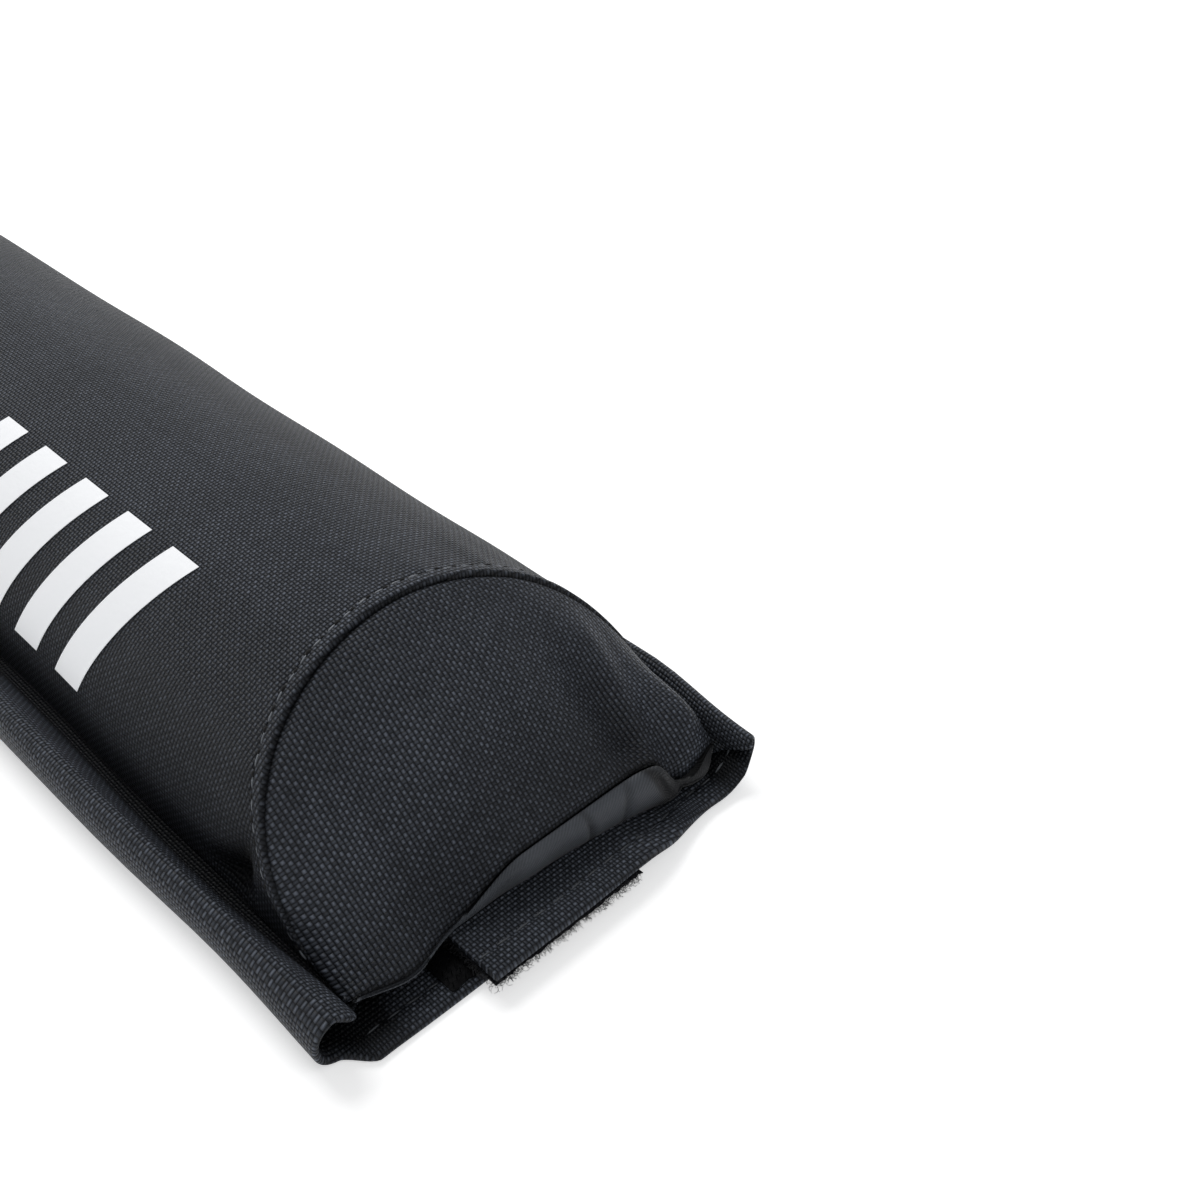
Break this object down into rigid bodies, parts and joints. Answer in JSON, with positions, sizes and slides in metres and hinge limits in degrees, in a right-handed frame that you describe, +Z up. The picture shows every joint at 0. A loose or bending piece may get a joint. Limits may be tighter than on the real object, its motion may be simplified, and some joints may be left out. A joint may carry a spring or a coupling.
{
  "type": "roof rack pad",
  "caption": "Long D-shaped foam pad in a sewn woven cover with sloped ends, closed beneath by hook and loop flaps that wrap a roof rack crossbar",
  "frame": {"origin": "middle of the whole pad in plan, on the surface that it lies on", "axes": "+X along the pad, toward the end nearest in the picture; +Z up; +Y toward the side of the close-folded loop flap"},
  "size_m": [0.702, 0.1112, 0.0472],
  "materials": {
    "foam": "open-cell foam block, matte",
    "cover_fabric": "charcoal 600D plain weave with a slight sheen",
    "lining_fabric": "thin dark grey taffeta",
    "flap_fabric": "charcoal 600D plain weave",
    "hook_tape": "black woven tape with fine stiff hooks",
    "loop_tape": "black brushed loop tape"
  },
  "bodies": {
    "root": {"foam_core": "foam", "top_cover": "cover_fabric", "end_panel_front": "cover_fabric", "end_panel_rear": "cover_fabric", "base_lining": "lining_fabric", "hook_flap": "flap_fabric", "loop_flap": "flap_fabric", "hook_tape": "hook_tape", "loop_tape": "loop_tape"}
  },
  "joints": []
}
